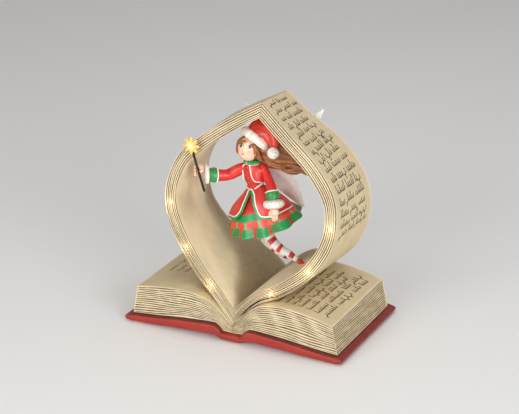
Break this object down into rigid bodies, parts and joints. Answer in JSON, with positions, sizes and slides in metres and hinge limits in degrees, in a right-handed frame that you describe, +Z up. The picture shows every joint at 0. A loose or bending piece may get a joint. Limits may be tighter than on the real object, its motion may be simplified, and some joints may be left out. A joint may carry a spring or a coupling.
{
  "type": "lit open book decoration",
  "caption": "Open book ornament whose pages curl into a loop round a winged doll in winter dress, with small lamps in the page edges and a cell box below.",
  "frame": {"origin": "on the table, under the middle of the spine, midway between the front and back edges of the cover", "axes": "+X to the right along the open book as the reader sees it, +Y away from the reader, +Z up"},
  "size_m": [0.22, 0.126, 0.2075],
  "materials": {
    "book_cover": "painted cast resin, brick red with a darker wash",
    "pages": "painted cast resin, cream with brown in the grooves",
    "loose_page": "painted cast resin, cream",
    "lamp": "clear warm lens",
    "lead_sleeve": "smooth insulation",
    "dark_case": "fine moulded grain",
    "cell_case": "gloss sleeve",
    "contact_metal": "nickel plated",
    "circuit_board": "lacquered board",
    "foot_rubber": "soft",
    "painted_skin": "painted cast resin",
    "painted_green": "painted cast resin",
    "painted_red": "painted cast resin",
    "painted_hair": "painted cast resin with strands",
    "painted_fur": "stippled white paint",
    "painted_stocking": "painted cast resin, white with red bands",
    "wing_gloss": "pearly paint",
    "wand_black": "black paint",
    "star_gold": "yellow gold paint"
  },
  "bodies": {
    "ornament": {"back_leg": "painted_stocking", "back_shoe": "painted_red", "battery_box": "dark_case", "cell_1": "cell_case", "cell_2": "cell_case", "cell_3": "cell_case", "collar": "painted_green", "cover": "book_cover", "foot_1": "foot_rubber", "foot_2": "foot_rubber", "foot_3": "foot_rubber", "foot_4": "foot_rubber", "front_contact_strip": "contact_metal", "front_leg": "painted_stocking", "front_shoe": "painted_red", "hair": "painted_hair", "hat": "painted_red", "hat_brim": "painted_fur", "head": "painted_skin", "jacket": "painted_red", "led_1": "lamp", "led_2": "lamp", "led_3": "lamp", "led_4": "lamp", "led_5": "lamp", "led_6": "lamp", "left_led_lead": "lead_sleeve", "left_loose_leaf": "loose_page", "left_page_band": "pages", "left_page_block": "pages", "left_wing": "wing_gloss", "low_cuff": "painted_green", "low_fur_cuff": "painted_fur", "low_hand": "painted_skin", "low_sleeve": "painted_red", "overskirt": "painted_red", "pompom": "painted_fur", "rear_contact_strip": "contact_metal", "right_led_lead": "lead_sleeve", "right_loose_leaf": "loose_page", "right_page_band": "pages", "right_page_block": "pages", "right_wing": "wing_gloss", "switch_body": "dark_case", "timer_board": "circuit_board", "underskirt": "painted_green", "wand": "wand_black", "wand_cuff": "painted_green", "wand_fur_cuff": "painted_fur", "wand_hand": "painted_skin", "wand_sleeve": "painted_red", "wand_star": "star_gold"},
    "door": {"battery_door": "dark_case"},
    "knob": {"switch_knob": "dark_case"}
  },
  "joints": [
    {"name": "door_hinge", "type": "hinge", "parent": "ornament", "child": "door", "pos_m": [0.04246, 0, 0.0024], "axis": [0, 1, 0], "range_deg": [0, 90]},
    {"name": "switch_slide", "type": "slide", "parent": "ornament", "child": "knob", "axis": [0, 1, 0], "range_m": [-0.002, 0.002]}
  ]
}
